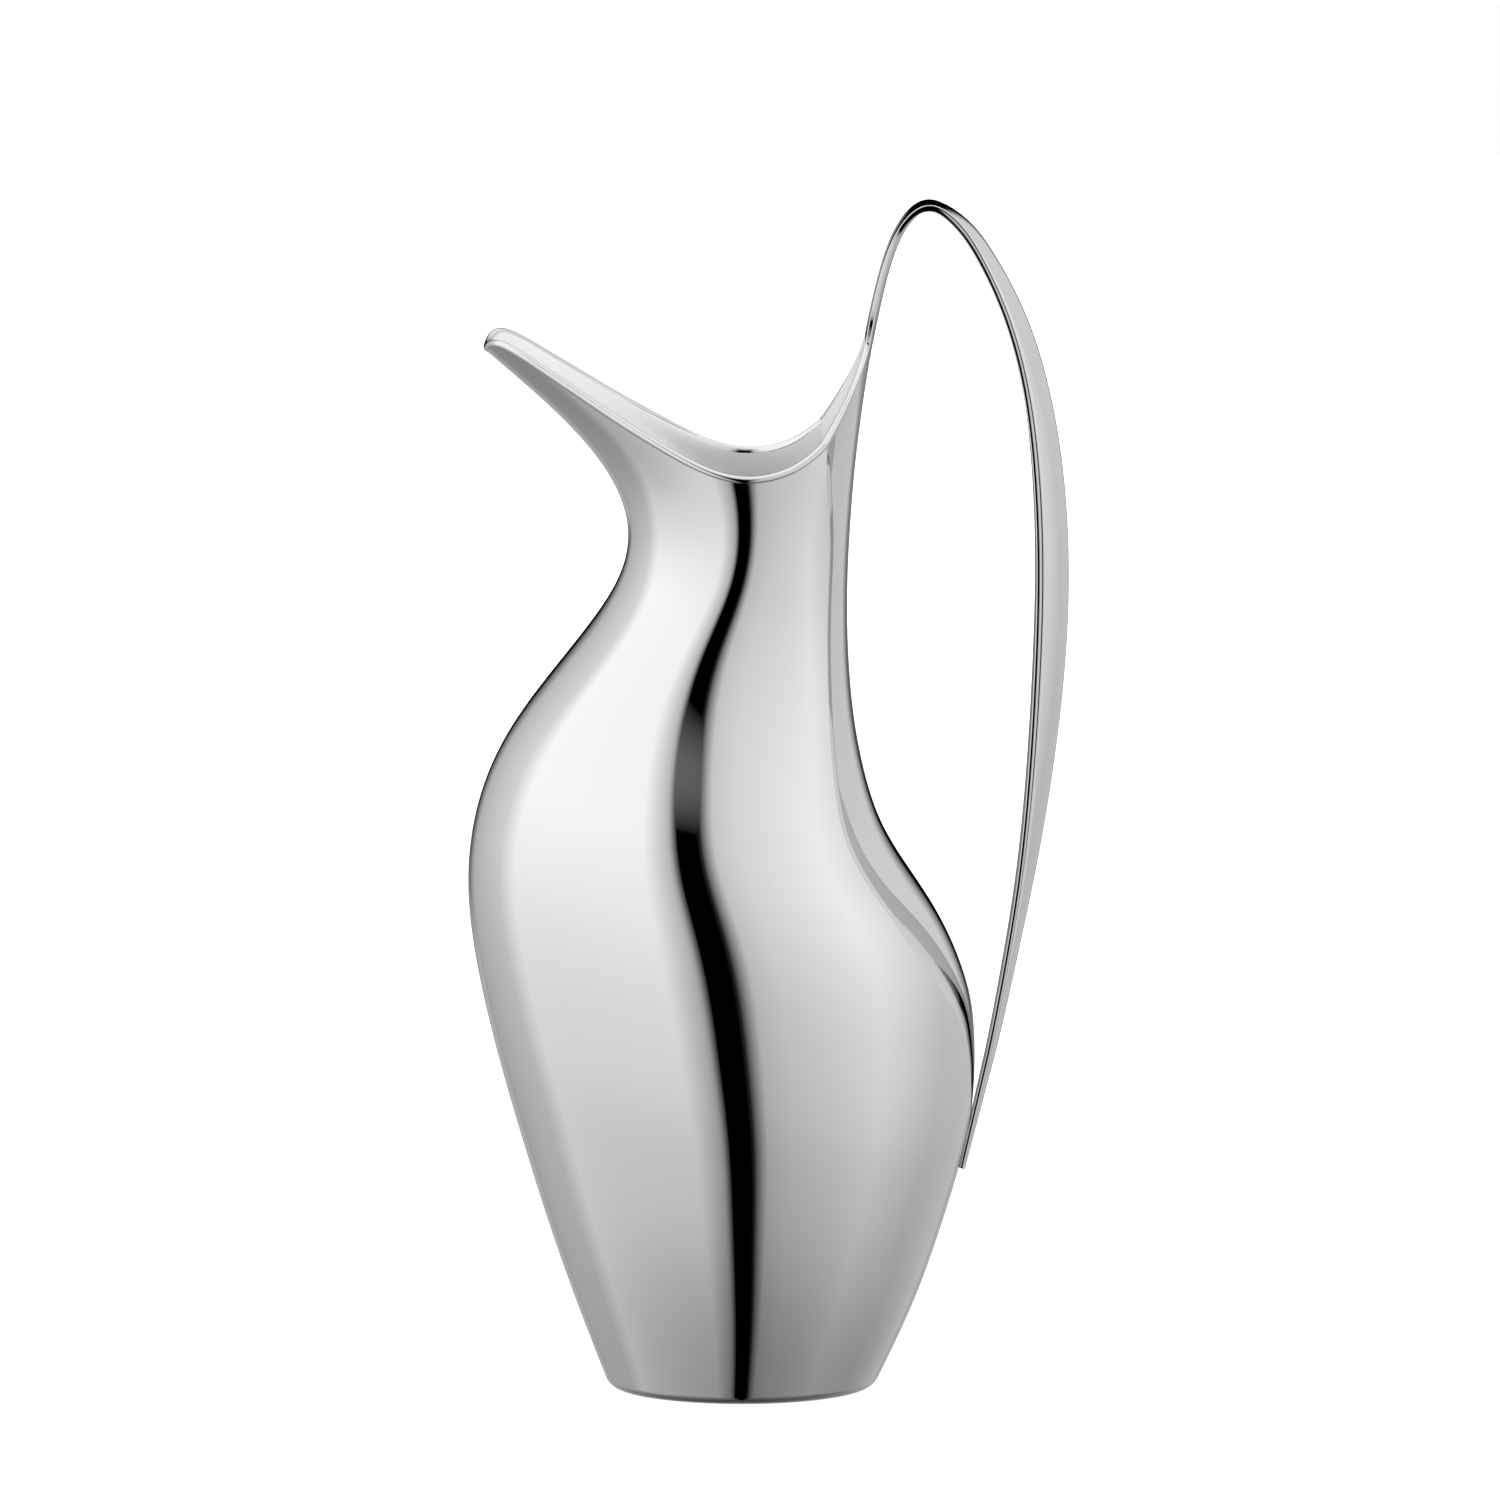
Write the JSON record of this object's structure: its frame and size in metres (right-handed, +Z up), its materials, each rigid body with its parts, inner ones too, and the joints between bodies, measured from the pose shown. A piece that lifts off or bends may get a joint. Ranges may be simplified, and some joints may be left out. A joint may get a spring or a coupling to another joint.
{
  "type": "water pitcher",
  "caption": "Tall polished steel water pitcher with a full oval belly, narrow neck, long swept spout and a slender loop handle that grows out of the back of the rim.",
  "frame": {"origin": "middle of the flat base plate, on the surface the pitcher stands on", "axes": "+Z up, -X towards the spout, +X towards the handle, XZ is the plane of symmetry"},
  "size_m": [0.1673, 0.1042, 0.3348],
  "materials": {
    "polished_steel": "mirror polished stainless steel",
    "satin_steel": "satin ground stainless steel, under the base"
  },
  "bodies": {
    "root": {"right_side_shell": "polished_steel", "left_side_shell": "polished_steel", "back_panel": "polished_steel", "base_plate": "satin_steel", "handle_inner_skin": "polished_steel", "handle_outer_skin": "polished_steel", "handle_foot": "polished_steel"}
  },
  "joints": []
}
